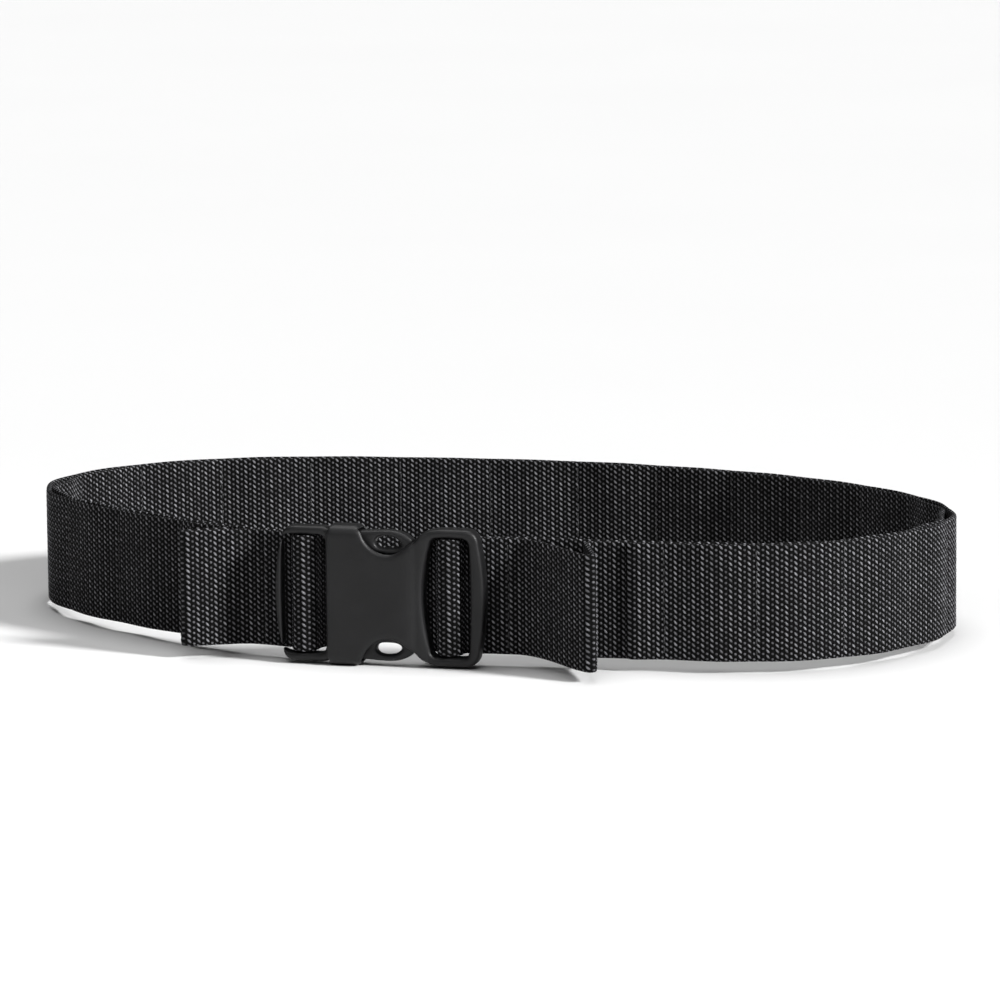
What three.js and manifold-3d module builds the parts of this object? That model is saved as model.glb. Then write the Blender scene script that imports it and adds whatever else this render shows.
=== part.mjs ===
// A quick-release weight belt: two layers of heavy webbing, sewn together at even steps,
// stand on edge in a loop round the waist and close in front with a side-release buckle.
// Millimetres, +Z up. The buckle is at the front (-Y), its length along X, and the origin
// is under the middle of the belt's box.
import * as THREE from 'three';
import { mergeVertices } from 'three/addons/utils/BufferGeometryUtils.js';
import Module from 'manifold-3d';

const wasm = await Module();
wasm.setup();

// ---- Driving dimensions -------------------------------------------------------------

// Belt
const loopWidth = 410;          // outside, along X
const loopDepth = 248;          // outside of the webbing, front to back
const webWidth = 50;
const webThickness = 2.2;
const layerGap = 0.3;           // between two layers, and between any two pieces that touch
const splitGap = 0.3;           // between the two halves at the back
const planStep = 9;             // length of one facet of the webbing
const restGap = 0.2;            // from the floor to the webbing's edge at the back

// Sewing
const seamRows = { left: 10, right: 12 };
const firstSeam = { left: 102, right: 121 };    // first plain row, from the buckle's middle
const lastSeam = { left: 14.4, right: 27.6 };   // last row, short of the split at the back
const stitchLength = 4;
const threadWidth = 0.9;
const threadThickness = 0.45;
const seamMargin = 2;           // from the end of a row to the edge of the webbing

// Pockets beside the buckle
const pocketStart = 57;         // row nearest the buckle, from its middle
const pocketFold = { left: 78, right: 94 };
const pocketStandOff = { left: 22, right: 30 };
const pocketReturn = 5;         // the webbing comes back to the belt this far short of the fold
const pocketEnd = 12;           // and lies flat this far beyond it
const landingRise = 4;
const foldRadius = 1.8;

// Buckle
const buckleX = -15;            // middle of the buckle
const buckleHeight = 61;
const bodyThickness = 14;
const wallThickness = 2;
const frameThickness = 9;
const railThickness = 8;
const slotClearance = 1;        // slot length over the webbing's width
const turnRoom = 2.1;           // free slot beside the webbing's turn, at least
const crossBarWidth = 4.6;
const crossBarThickness = 4.6;
const mouthX = -23.1;           // mouth of the socket, from the middle of the buckle
const socketEndX = 16.8;
const maleEndX = -46;
const femaleEndX = 46;
const maleBarX = -33.6;         // cross bar that the left webbing turns round
const femaleBarX = 30;          // cross bar that the right webbing turns round
const maleSlot = { from: -42.6, to: -23.7 };
const femaleSlot = { from: 22.2, to: 39, bow: 3 };
const endBow = 2.6;             // the end bars bow outwards
const fitGap = 0.3;             // male part inside the socket
const railStep = 1.4;           // the rails outside are lower than the socket by this
const tongueWidth = 14;
const tongueThickness = 5;
const tongueEndX = 8;
const armThickness = 6;
const armPivotX = -15;
const armPivotZ = 24;
const armRootRadius = 3.2;
const gripDepth = 12;           // how deep the grip cut-outs reach into the socket's sides
const gripStartX = -7.4;
const gripMiddleX = 5;
const mouthCorner = 3;
const socketRound = 4.5;        // long edges of the socket
const edgeRound = 1.2;

// ---- Colours ------------------------------------------------------------------------

const webbingBlack = new THREE.MeshStandardMaterial({ color: 0x141414, roughness: 0.85 });
const threadBlack = new THREE.MeshStandardMaterial({ color: 0x1b1b1b, roughness: 0.7 });
const bucklePlastic = new THREE.MeshStandardMaterial({ color: 0x2c2c2d, roughness: 0.55 });

const model = new THREE.Group();

function addPiece(name, geometry, material) {
  const mesh = new THREE.Mesh(geometry, material);
  mesh.name = name;
  model.add(mesh);
}

// ---- Plan of the belt ---------------------------------------------------------------

// Corners of the cage that the belt's outer face follows, as shares of half its width and
// half its depth. A closed uniform cubic spline runs inside this cage.
const planCage = [
  [-0.07, -0.95], [0.22, -0.94], [0.5, -0.93], [0.77, -0.93], [0.98, -0.6], [1.07, -0.02],
  [0.88, 0.5], [0.56, 0.88], [0.1, 1.07], [-0.38, 1.02], [-0.76, 0.86], [-0.99, 0.45],
  [-1.02, -0.07], [-0.83, -0.46], [-0.56, -0.75], [-0.34, -0.96],
].map(([x, y]) => new THREE.Vector2(x * loopWidth / 2, y * loopDepth / 2));

function cagePoint(share) {
  const scaled = share * planCage.length;
  const first = Math.floor(scaled);
  const t = scaled - first;
  const weights = [
    (1 - t) ** 3 / 6,
    (3 * t ** 3 - 6 * t ** 2 + 4) / 6,
    (-3 * t ** 3 + 3 * t ** 2 + 3 * t + 1) / 6,
    t ** 3 / 6,
  ];
  const point = new THREE.Vector2();
  weights.forEach((weight, i) => {
    const corner = planCage[(first + i - 1 + 2 * planCage.length) % planCage.length];
    point.addScaledVector(corner, weight);
  });
  return point;
}

// The plan as a closed line that can be walked by distance from the middle of the buckle,
// to the right and round by the back.
const planSamples = 1600;
const planPoints = [];
for (let i = 0; i < planSamples; i += 1) {
  planPoints.push(cagePoint(i / planSamples));
}
const startIndex = planPoints.reduce((best, point, i) => {
  const isFront = point.y < 0;
  const isNearer = Math.abs(point.x - buckleX) < Math.abs(planPoints[best].x - buckleX);
  return isFront && isNearer ? i : best;
}, 0);
const planLine = [];
const planDistance = [0];
for (let i = 0; i <= planSamples; i += 1) {
  planLine.push(planPoints[(startIndex + i) % planSamples]);
  if (i > 0) {
    planDistance.push(planDistance[i - 1] + planLine[i].distanceTo(planLine[i - 1]));
  }
}
const planLength = planDistance[planSamples];
const startShift = buckleX - planLine[0].x;

// A point of the plan at a distance from the buckle, moved inwards by an inset.
function planAt(distance, inset = 0) {
  const wrapped = (((distance + startShift) % planLength) + planLength) % planLength;
  let high = planDistance.findIndex((d) => d > wrapped);
  high = high < 1 ? planSamples : high;
  const low = high - 1;
  const span = planDistance[high] - planDistance[low];
  const point = planLine[low].clone().lerp(planLine[high], (wrapped - planDistance[low]) / span);
  const along = planLine[high].clone().sub(planLine[low]).normalize();
  return point.add(new THREE.Vector2(-along.y, along.x).multiplyScalar(inset));
}

function planDirection(distance) {
  return planAt(distance + 0.5).sub(planAt(distance - 0.5)).normalize();
}

// Front face of the plan where the buckle is, and the plane through the buckle's middle.
const frontY = planAt(0).y;
const buckleY = frontY - frameThickness / 2 - layerGap;
const buckleZ = buckleHeight / 2;
const webBottom = (buckleHeight - webWidth) / 2;

// The belt stands on the buckle's edge in front and on the webbing's edge behind. The
// webbing is the narrower, so it slopes down from the buckle to the back.
const backY = Math.max(...planLine.map((point) => point.y));
const slope = (webBottom - restGap) / (backY - frontY);
const slopeBack = new THREE.Matrix4().set(
  1, 0, 0, 0,
  0, 1, 0, 0,
  0, -slope, 1, slope * frontY,
  0, 0, 0, 1,
);

// ---- Webbing ------------------------------------------------------------------------

// A strip of webbing on edge, from the plan of its middle line.
function webbingStrip(middle) {
  const half = webThickness / 2;
  const left = [];
  const right = [];
  middle.forEach((point, i) => {
    const before = middle[Math.max(i - 1, 0)];
    const after = middle[Math.min(i + 1, middle.length - 1)];
    const along = after.clone().sub(before).normalize();
    const across = new THREE.Vector2(-along.y, along.x).multiplyScalar(half);
    left.push(point.clone().add(across));
    right.push(point.clone().sub(across));
  });
  const outline = new THREE.Shape(right.concat(left.reverse()));
  const strip = new THREE.ExtrudeGeometry(outline, { depth: webWidth, bevelEnabled: false });
  strip.translate(0, 0, webBottom);
  return strip.applyMatrix4(slopeBack);
}

function planRun(from, to, inset) {
  const steps = Math.max(2, Math.round(Math.abs(to - from) / planStep));
  const run = [];
  for (let i = 0; i <= steps; i += 1) {
    run.push(planAt(from + (to - from) * i / steps, inset));
  }
  return run;
}

const outerInset = webThickness / 2;
const innerInset = outerInset + webThickness + layerGap;

// The halves part at the back, straight behind the buckle.
const backIndex = planLine.reduce((best, point, i) => {
  const isBack = point.y > 0;
  const isNearer = Math.abs(point.x - buckleX) < Math.abs(planLine[best].x - buckleX);
  return isBack && (isNearer || planLine[best].y < 0) ? i : best;
}, 0);
const backDistance = planDistance[backIndex];

// On each side, `side` is 1 to the right of the buckle and -1 to the left. Distances from
// the buckle count outwards on both sides.
const sides = {
  right: { side: 1, barX: femaleBarX, length: backDistance - splitGap / 2 },
  left: { side: -1, barX: maleBarX, length: planLength - backDistance - splitGap / 2 },
};

// How far past a cross bar the plain layers start: the turn round the bar ends there.
const turnReach = 17;
const turnBulb = { left: 7.5, right: 14.5 };    // from the bar's middle to the bulb's end

// The turn comes from the outer layer, goes forward and over the bar, and spreads behind
// the slot in a bulb before it becomes the inner layer.
function barTurn(side, barX, bulb) {
  const radius = Math.hypot(crossBarWidth, crossBarThickness) / 2 + layerGap / 2 + webThickness / 2;
  const outerY = outerInset + frontY - buckleY;
  const innerY = innerInset + frontY - buckleY;
  const end = side * (Math.abs(barX) + turnReach);
  const at = (x, y) => new THREE.Vector2(buckleX + barX + side * x, buckleY + y);
  const bulbEnd = webThickness / 2 - bulb;
  const fold = webThickness / 2 + 0.4;
  const behindWall = Math.min(-radius, bulbEnd + 5);
  const path = new THREE.CurvePath();
  const addCurve = (...points) => path.add(new THREE.CubicBezierCurve(...points));
  const rise = at(radius, 1);
  const over = radius * 0.55;
  path.add(new THREE.LineCurve(planAt(end, outerInset), at(radius + 4, outerY)));
  addCurve(at(radius + 4, outerY), at(radius + 1, outerY), at(radius, outerY - 1), rise);
  addCurve(rise, at(radius, -over), at(over, -radius), at(0, -radius));
  addCurve(at(0, -radius), at(-over, -radius), at(-radius, -over), at(-radius, 1));
  addCurve(
    at(-radius, 1), at(-radius, outerY + 0.6),
    at(behindWall, outerY + 0.6), at(bulbEnd + fold * 0.6, outerY + 2.2),
  );
  addCurve(
    at(bulbEnd + fold * 0.6, outerY + 2.2), at(bulbEnd, outerY + 3),
    at(bulbEnd, innerY + 2.4), at(bulbEnd + fold * 2, innerY + 2.4),
  );
  addCurve(
    at(bulbEnd + fold * 2, innerY + 2.4), at(-1, innerY + 2.4), at(4, innerY),
    at(radius + 4, innerY),
  );
  path.add(new THREE.LineCurve(at(radius + 4, innerY), planAt(end, innerInset)));
  return path.curves.flatMap((curve, i) => {
    const points = curve.getPoints(curve.isLineCurve ? 1 : 5);
    return i ? points.slice(1) : points;
  });
}

// The outer layer leaves the belt beside the buckle, stands off and folds sharply back,
// which leaves a pocket that is open at its top and bottom.
function pocketLine(side, start, fold, standOff) {
  const at = (distance, out) => planAt(side * distance, outerInset - out);
  const foldPoint = at(fold, standOff);
  const root = at(start, 0);
  const panel = new THREE.CubicBezierCurve(
    root, at(start + 9, 0), root.clone().lerp(foldPoint, 0.6), foldPoint,
  );
  const line = panel.getPoints(9);
  const outwards = panel.getTangent(1);
  const landing = at(fold - pocketReturn, 0);
  const landingTurn = at(fold - pocketReturn - 1, landingRise);
  const heading = landingTurn.clone().sub(foldPoint).normalize();
  const turnAngle = Math.acos(outwards.dot(heading));
  const inwards = new THREE.Vector2(-outwards.y, outwards.x).multiplyScalar(side * foldRadius);
  const turnCentre = foldPoint.clone().add(inwards);
  const turnSteps = 6;
  for (let i = 1; i <= turnSteps; i += 1) {
    const spoke = inwards.clone().negate();
    spoke.rotateAround(new THREE.Vector2(), side * turnAngle * i / turnSteps);
    line.push(turnCentre.clone().add(spoke));
  }
  const down = new THREE.LineCurve(line[line.length - 1], landingTurn);
  const settle = new THREE.CubicBezierCurve(
    landingTurn, landingTurn.clone().lerp(landing, 0.7), at(fold - pocketReturn + 1, 0),
    at(fold - pocketReturn + 4, 0),
  );
  const flat = planRun(
    side * (fold - pocketReturn + 4), side * (fold + pocketEnd), outerInset,
  );
  const later = [down.getPoints(3), settle.getPoints(4), flat];
  return line.concat(later.flatMap((points) => points.slice(1)));
}

for (const [name, { side, barX, length }] of Object.entries(sides)) {
  const turnEnd = Math.abs(barX) + turnReach + splitGap;
  const fold = pocketFold[name];
  const pocketStop = fold + pocketEnd + splitGap;
  addPiece(`${name}_bar_turn`, webbingStrip(barTurn(side, barX, turnBulb[name])), webbingBlack);
  addPiece(
    `${name}_webbing_lead`,
    webbingStrip(planRun(side * turnEnd, side * (pocketStart - splitGap), outerInset)),
    webbingBlack,
  );
  addPiece(
    `${name}_pocket`,
    webbingStrip(pocketLine(side, pocketStart, fold, pocketStandOff[name])),
    webbingBlack,
  );
  addPiece(
    `${name}_outer_webbing`,
    webbingStrip(planRun(side * pocketStop, side * length, outerInset)),
    webbingBlack,
  );
  addPiece(
    `${name}_inner_webbing`,
    webbingStrip(planRun(side * turnEnd, side * length, innerInset)),
    webbingBlack,
  );
}

// ---- Rows of stitches ---------------------------------------------------------------

// One row: the thread lies on the webbing in stitches, and dips between them.
function stitchRow(distance) {
  const rowHeight = webWidth - 2 * seamMargin;
  const stitches = Math.floor(rowHeight / stitchLength);
  const dip = threadThickness / 2;
  const outside = [];
  for (let i = 0; i <= stitches; i += 1) {
    outside.push(new THREE.Vector2(i * stitchLength, 0));
    if (i < stitches) {
      outside.push(new THREE.Vector2((i + 0.5) * stitchLength, dip));
    }
  }
  const inside = outside.map((point) => new THREE.Vector2(point.x, point.y + threadThickness));
  const outline = new THREE.Shape(outside.concat(inside.reverse()));
  const row = new THREE.ExtrudeGeometry(outline, { depth: threadWidth, bevelEnabled: false });
  row.translate(-stitches * stitchLength / 2, layerGap, -threadWidth / 2);
  const along = planDirection(distance);
  const out = new THREE.Vector2(along.y, -along.x);
  const frame = new THREE.Matrix4().makeBasis(
    new THREE.Vector3(0, 0, 1),
    new THREE.Vector3(out.x, out.y, 0),
    new THREE.Vector3(along.x, along.y, 0),
  );
  row.applyMatrix4(frame);
  const place = planAt(distance);
  row.translate(place.x, place.y, webBottom + webWidth / 2);
  return row.applyMatrix4(slopeBack);
}

for (const [name, { side, length }] of Object.entries(sides)) {
  const seamPitch = (length - lastSeam[name] - firstSeam[name]) / (seamRows[name] - 1);
  for (let i = 0; i < seamRows[name]; i += 1) {
    const label = String(i + 1).padStart(2, '0');
    const row = stitchRow(side * (firstSeam[name] + i * seamPitch));
    addPiece(`${name}_seam_${label}`, row, threadBlack);
  }
}

// ---- Buckle -------------------------------------------------------------------------

// Outlines are drawn as the buckle is seen from the front: x along it, y up, both from its
// middle. Plates are raised from them along its thickness.

function toSolid(geometry) {
  const bare = geometry.clone();
  bare.deleteAttribute('normal');
  bare.deleteAttribute('uv');
  const merged = mergeVertices(bare, 1e-4);
  return new wasm.Manifold(new wasm.Mesh({
    numProp: 3,
    vertProperties: new Float32Array(merged.attributes.position.array),
    triVerts: new Uint32Array(merged.index.array),
  }));
}

function toGeometry(solid) {
  const mesh = solid.getMesh();
  const geometry = new THREE.BufferGeometry();
  geometry.setAttribute('position', new THREE.BufferAttribute(mesh.vertProperties, 3));
  geometry.setIndex(new THREE.BufferAttribute(mesh.triVerts, 1));
  const flat = geometry.toNonIndexed();
  flat.computeVertexNormals();
  return flat;
}

// A plate of the buckle: its outline raised to a thickness, edges rounded, centred.
function plate(outline, thickness, round = edgeRound, curveSegments = 10) {
  const raised = new THREE.ExtrudeGeometry(outline, {
    depth: thickness - 2 * round,
    bevelEnabled: round > 0,
    bevelThickness: round,
    bevelSize: round,
    bevelOffset: -round,
    bevelSegments: 2,
    curveSegments,
  });
  raised.translate(0, 0, -(thickness - 2 * round) / 2);
  raised.rotateX(Math.PI / 2);
  return toSolid(raised);
}

function block(width, thickness, height, x, z) {
  const box = new THREE.BoxGeometry(width, thickness, height);
  box.translate(x, 0, z);
  return toSolid(box);
}

// A slot with round corners; its left and right sides may bow outwards.
function slotOutline(from, to, halfHeight, bowLeft, bowRight, corner = 3) {
  const slot = new THREE.Shape();
  slot.moveTo(from + corner, -halfHeight);
  slot.lineTo(to - corner, -halfHeight);
  slot.quadraticCurveTo(to, -halfHeight, to, -halfHeight + corner);
  slot.quadraticCurveTo(to + 2 * bowRight, 0, to, halfHeight - corner);
  slot.quadraticCurveTo(to, halfHeight, to - corner, halfHeight);
  slot.lineTo(from + corner, halfHeight);
  slot.quadraticCurveTo(from, halfHeight, from, halfHeight - corner);
  slot.quadraticCurveTo(from - 2 * bowLeft, 0, from, -halfHeight + corner);
  slot.quadraticCurveTo(from, -halfHeight, from + corner, -halfHeight);
  return slot;
}

// The slot grows with the turn of webbing that passes through it.
const turnHalf = Math.hypot(crossBarWidth, crossBarThickness) / 2 + layerGap / 2 + webThickness;
const femaleSlotStart = Math.min(femaleSlot.from, femaleBarX - turnHalf - turnRoom);

const socketHalf = buckleHeight / 2;
const socketInside = socketHalf - wallThickness;
const slotHalf = (webWidth + slotClearance) / 2;
const maleHalf = socketInside - fitGap;
const railHalf = socketHalf - railStep;
const gripBottom = socketHalf - gripDepth;
const frameHalf = socketHalf - 1;

// One long side of the socket's outline, from the mouth to the end frame: a grip cut-out
// with a steep near wall and a long far slope, then the frame's side.
function socketSide(up) {
  const z = (value) => up * value;
  const endCorner = femaleEndX - endBow;
  const side = new THREE.Path();
  side.moveTo(mouthX, z(socketHalf - mouthCorner));
  side.quadraticCurveTo(mouthX, z(socketHalf), mouthX + mouthCorner, z(socketHalf));
  side.lineTo(gripStartX - 3, z(socketHalf));
  side.quadraticCurveTo(gripStartX, z(socketHalf), gripStartX + 0.5, z(socketHalf - 3));
  side.bezierCurveTo(
    gripStartX + 1.6, z(gripBottom + 4), gripMiddleX - 6, z(gripBottom),
    gripMiddleX, z(gripBottom),
  );
  side.bezierCurveTo(
    gripMiddleX + 6.5, z(gripBottom), gripMiddleX + 11, z(frameHalf),
    femaleSlotStart + 4, z(frameHalf),
  );
  side.lineTo(endCorner - 6, z(frameHalf));
  side.quadraticCurveTo(endCorner, z(frameHalf), endCorner + 0.4, z(frameHalf - 7));
  return side.getPoints(8);
}

function socketOutline() {
  const top = socketSide(1);
  const bottom = socketSide(-1);
  const bowed = new THREE.QuadraticBezierCurve(
    bottom[bottom.length - 1],
    new THREE.Vector2(femaleEndX + endBow - 0.4, 0),
    top[top.length - 1],
  );
  return new THREE.Shape([...bottom, ...bowed.getPoints(12).slice(1, -1), ...top.reverse()]);
}

// The socket's section seen along the buckle, with its long edges well rounded.
function socketSection() {
  const halfY = bodyThickness / 2;
  const section = new THREE.Shape();
  const round = socketRound;
  section.moveTo(-halfY + round, -socketHalf);
  section.absarc(halfY - round, -socketHalf + round, round, -Math.PI / 2, 0, false);
  section.absarc(halfY - round, socketHalf - round, round, 0, Math.PI / 2, false);
  section.absarc(-halfY + round, socketHalf - round, round, Math.PI / 2, Math.PI, false);
  section.absarc(-halfY + round, -socketHalf + round, round, Math.PI, Math.PI * 1.5, false);
  const length = femaleEndX - mouthX + 8;
  const solid = new THREE.ExtrudeGeometry(section, {
    depth: length, bevelEnabled: false, curveSegments: 5,
  });
  const alongBuckle = new THREE.Matrix4().makeBasis(
    new THREE.Vector3(0, 1, 0), new THREE.Vector3(0, 0, 1), new THREE.Vector3(1, 0, 0),
  );
  solid.applyMatrix4(alongBuckle);
  solid.translate(mouthX - 4, 0, 0);
  return toSolid(solid);
}

// The body is thick over the socket and thins towards the end frame.
function socketPlan() {
  const thick = bodyThickness / 2;
  const thin = frameThickness / 2;
  const plan = new THREE.Shape();
  plan.moveTo(mouthX - 1, -thick);
  plan.lineTo(socketEndX - 6, -thick);
  plan.bezierCurveTo(socketEndX, -thick, socketEndX + 2, -thin, femaleSlotStart, -thin);
  plan.lineTo(femaleEndX + 1, -thin);
  plan.lineTo(femaleEndX + 1, thin);
  plan.lineTo(femaleSlotStart, thin);
  plan.bezierCurveTo(socketEndX + 2, thin, socketEndX, thick, socketEndX - 6, thick);
  plan.lineTo(mouthX - 1, thick);
  plan.lineTo(mouthX - 1, -thick);
  const solid = new THREE.ExtrudeGeometry(plan, {
    depth: buckleHeight + 2, bevelEnabled: false, curveSegments: 6,
  });
  solid.translate(0, 0, -(buckleHeight + 2) / 2);
  return toSolid(solid);
}

function crossBar(x) {
  const bar = new THREE.Shape();
  const corner = 1.4;
  const halfX = crossBarWidth / 2;
  const halfY = crossBarThickness / 2;
  bar.moveTo(-halfX + corner, -halfY);
  bar.lineTo(halfX - corner, -halfY);
  bar.quadraticCurveTo(halfX, -halfY, halfX, -halfY + corner);
  bar.lineTo(halfX, halfY - corner);
  bar.quadraticCurveTo(halfX, halfY, halfX - corner, halfY);
  bar.lineTo(-halfX + corner, halfY);
  bar.quadraticCurveTo(-halfX, halfY, -halfX, halfY - corner);
  bar.lineTo(-halfX, -halfY + corner);
  bar.quadraticCurveTo(-halfX, -halfY, -halfX + corner, -halfY);
  const length = 2 * slotHalf + 2;
  const solid = new THREE.ExtrudeGeometry(bar, {
    depth: length, bevelEnabled: false, curveSegments: 3,
  });
  solid.translate(x, 0, -length / 2);
  return toSolid(solid);
}

function inBuckle(solid) {
  const geometry = toGeometry(solid);
  geometry.translate(buckleX, buckleY, buckleZ);
  return geometry;
}

const cavityLength = socketEndX - mouthX + 1;
const cavity = block(
  cavityLength, bodyThickness - 2 * wallThickness, 2 * socketInside,
  socketEndX - cavityLength / 2, 0,
);
const femaleSlotOutline = slotOutline(
  femaleSlotStart, femaleSlot.to, slotHalf, femaleSlot.bow, 0.6,
);
const femaleBody = plate(socketOutline(), bodyThickness)
  .intersect(socketPlan())
  .intersect(socketSection())
  .subtract(cavity)
  .subtract(plate(femaleSlotOutline, bodyThickness + 2, 0))
  .add(crossBar(femaleBarX));
addPiece('female_body', inBuckle(femaleBody), bucklePlastic);

function railOutline() {
  const rail = new THREE.Shape();
  const corner = maleEndX + endBow;
  const shoulder = mouthX - fitGap;
  rail.moveTo(shoulder, -railHalf);
  rail.lineTo(shoulder, railHalf);
  rail.lineTo(corner + 6, railHalf);
  rail.quadraticCurveTo(corner + 0.5, railHalf, corner - 0.4, railHalf - 7);
  rail.quadraticCurveTo(maleEndX - endBow + 0.4, 0, corner - 0.4, -railHalf + 7);
  rail.quadraticCurveTo(corner + 0.5, -railHalf, corner + 6, -railHalf);
  rail.lineTo(shoulder, -railHalf);
  return rail;
}

const maleSlotOutline = slotOutline(maleSlot.from, maleSlot.to, slotHalf, 0.6, 0);
const baseStart = mouthX - fitGap - 3;
const baseEnd = armPivotX - armRootRadius - fitGap;
const maleBase = block(
  baseEnd - baseStart, railThickness, 2 * maleHalf, (baseStart + baseEnd) / 2, 0,
);
const maleFrame = plate(railOutline(), railThickness)
  .add(maleBase)
  .subtract(plate(maleSlotOutline, railThickness + 2, 0))
  .add(crossBar(maleBarX));
addPiece('male_frame', inBuckle(maleFrame), bucklePlastic);

function tongueOutline() {
  const tongue = new THREE.Shape();
  const root = armPivotX - armRootRadius;
  const half = tongueWidth / 2;
  tongue.moveTo(root, -half);
  tongue.lineTo(tongueEndX - 6, -half + 1.5);
  tongue.quadraticCurveTo(tongueEndX, -half + 2, tongueEndX, -half + 5);
  tongue.lineTo(tongueEndX, half - 5);
  tongue.quadraticCurveTo(tongueEndX, half - 2, tongueEndX - 6, half - 1.5);
  tongue.lineTo(root, half);
  tongue.lineTo(root, -half);
  return tongue;
}
addPiece('guide_tongue', inBuckle(plate(tongueOutline(), tongueThickness, 0.8)), bucklePlastic);

// A release arm: a round root in the frame, a spring, and an ear with a finger hole.
function armOutline() {
  const arm = new THREE.Shape();
  const earTop = maleHalf;
  const rootTop = armPivotZ + armRootRadius;
  const rootBottom = armPivotZ - armRootRadius;
  const earBottom = gripBottom - 1.2;
  const earX = gripMiddleX - 1;
  arm.moveTo(armPivotX, rootTop);
  arm.absarc(armPivotX, armPivotZ, armRootRadius, Math.PI / 2, Math.PI * 1.5, false);
  arm.bezierCurveTo(-9, rootBottom, earX - 8, earBottom + 0.8, earX, earBottom);
  arm.bezierCurveTo(earX + 7, earBottom - 0.4, earX + 10.8, earBottom + 2.4, earX + 12.2, earTop - 6);
  arm.bezierCurveTo(earX + 10, earTop - 2.2, earX + 5.5, earTop, earX, earTop);
  arm.bezierCurveTo(earX - 6, earTop, -8, rootTop + 0.4, armPivotX, rootTop);
  const eye = new THREE.Path();
  const eyeZ = earTop - 5.3;
  eye.moveTo(earX - 6, eyeZ);
  eye.bezierCurveTo(earX - 6, eyeZ + 2.2, earX - 4, eyeZ + 2.6, earX - 1, eyeZ + 2.6);
  eye.bezierCurveTo(earX + 2.2, eyeZ + 2.6, earX + 4.2, eyeZ + 1.4, earX + 5.8, eyeZ - 0.8);
  eye.bezierCurveTo(earX + 4.4, eyeZ - 2.4, earX + 2.2, eyeZ - 2.6, earX - 1, eyeZ - 2.6);
  eye.bezierCurveTo(earX - 4, eyeZ - 2.6, earX - 6, eyeZ - 2.2, earX - 6, eyeZ);
  arm.holes.push(eye);
  return arm;
}

const upperArm = plate(armOutline(), armThickness, 0.8, 8);
const lowerArm = upperArm.mirror([0, 0, 1]);
addPiece('upper_release_arm', inBuckle(upperArm), bucklePlastic);
addPiece('lower_release_arm', inBuckle(lowerArm), bucklePlastic);

// ---- Origin -------------------------------------------------------------------------

const box = new THREE.Box3().setFromObject(model, true);
const middle = box.getCenter(new THREE.Vector3());
model.position.set(-middle.x, -middle.y, -box.min.z);

export default model;
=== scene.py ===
import math
import bpy
import bmesh
import numpy as np
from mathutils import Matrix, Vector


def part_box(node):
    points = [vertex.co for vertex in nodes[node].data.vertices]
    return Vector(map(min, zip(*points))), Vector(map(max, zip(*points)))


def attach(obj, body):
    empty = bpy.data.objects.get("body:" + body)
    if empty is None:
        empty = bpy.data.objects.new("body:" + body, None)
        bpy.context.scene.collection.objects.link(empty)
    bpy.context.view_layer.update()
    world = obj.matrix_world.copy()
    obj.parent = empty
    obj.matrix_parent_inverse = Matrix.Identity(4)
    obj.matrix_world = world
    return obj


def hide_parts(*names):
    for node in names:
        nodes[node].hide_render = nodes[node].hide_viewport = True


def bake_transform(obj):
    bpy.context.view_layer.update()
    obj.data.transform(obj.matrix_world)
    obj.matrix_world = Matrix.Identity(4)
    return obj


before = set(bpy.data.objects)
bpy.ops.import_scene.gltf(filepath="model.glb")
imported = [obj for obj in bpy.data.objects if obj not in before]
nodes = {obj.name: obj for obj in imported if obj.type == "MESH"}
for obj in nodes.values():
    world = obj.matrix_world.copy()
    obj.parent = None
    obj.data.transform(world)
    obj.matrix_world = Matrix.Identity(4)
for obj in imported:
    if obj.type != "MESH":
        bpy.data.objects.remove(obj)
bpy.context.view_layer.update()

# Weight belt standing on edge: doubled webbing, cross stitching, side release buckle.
import openvdb
from mathutils import Matrix, Vector

mm = 0.001
random = np.random.RandomState(7)

camera = {
    "place": (649.57, -2573.89, 483.38),   # mm
    "turn": 14.057,                        # degrees to the left of straight ahead
    "tiltDown": 9.2,
    "roll": -0.522,
    "lens": 219.94,
    "sensor": 36,
    "farClip": 60,                         # m
}


def addCamera():
    data = bpy.data.cameras.new("viewer")
    data.lens = camera["lens"]
    data.sensor_width = camera["sensor"]
    data.clip_end = camera["farClip"]
    eye = bpy.data.objects.new("viewer", data)
    turn = Matrix.Rotation(math.radians(camera["turn"]), 4, "Z")
    tilt = Matrix.Rotation(math.radians(90 - camera["tiltDown"]), 4, "X")
    roll = Matrix.Rotation(math.radians(camera["roll"]), 4, "Z")
    place = Matrix.Translation(Vector(camera["place"]) * mm)
    eye.matrix_world = place @ turn @ tilt @ roll
    bpy.context.scene.collection.objects.link(eye)
    bpy.context.scene.camera = eye


addCamera()
print("camera ready")


# sRGB hex to linear RGBA
def paint(hexCode):
    parts = [int(hexCode[i:i + 2], 16) / 255 for i in (1, 3, 5)]
    linear = [p / 12.92 if p <= 0.04045 else ((p + 0.055) / 1.055) ** 2.4 for p in parts]
    return (*linear, 1.0)


def addNode(tree, kind, settings=None, inputs=None):
    node = tree.nodes.new(kind)
    for name, value in (settings or {}).items():
        setattr(node, name, value)
    for key, value in (inputs or {}).items():
        if isinstance(value, bpy.types.NodeSocket):
            tree.links.new(value, node.inputs[key])
        else:
            node.inputs[key].default_value = value
    return node


def startMaterial(name):
    material = bpy.data.materials.new(name)
    material.use_nodes = True
    material.node_tree.nodes.clear()
    return material, material.node_tree


def finishMaterial(tree, inputs):
    shader = addNode(tree, "ShaderNodeBsdfPrincipled", None, inputs)
    addNode(tree, "ShaderNodeOutputMaterial", None, {"Surface": shader.outputs[0]})
    return shader


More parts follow.
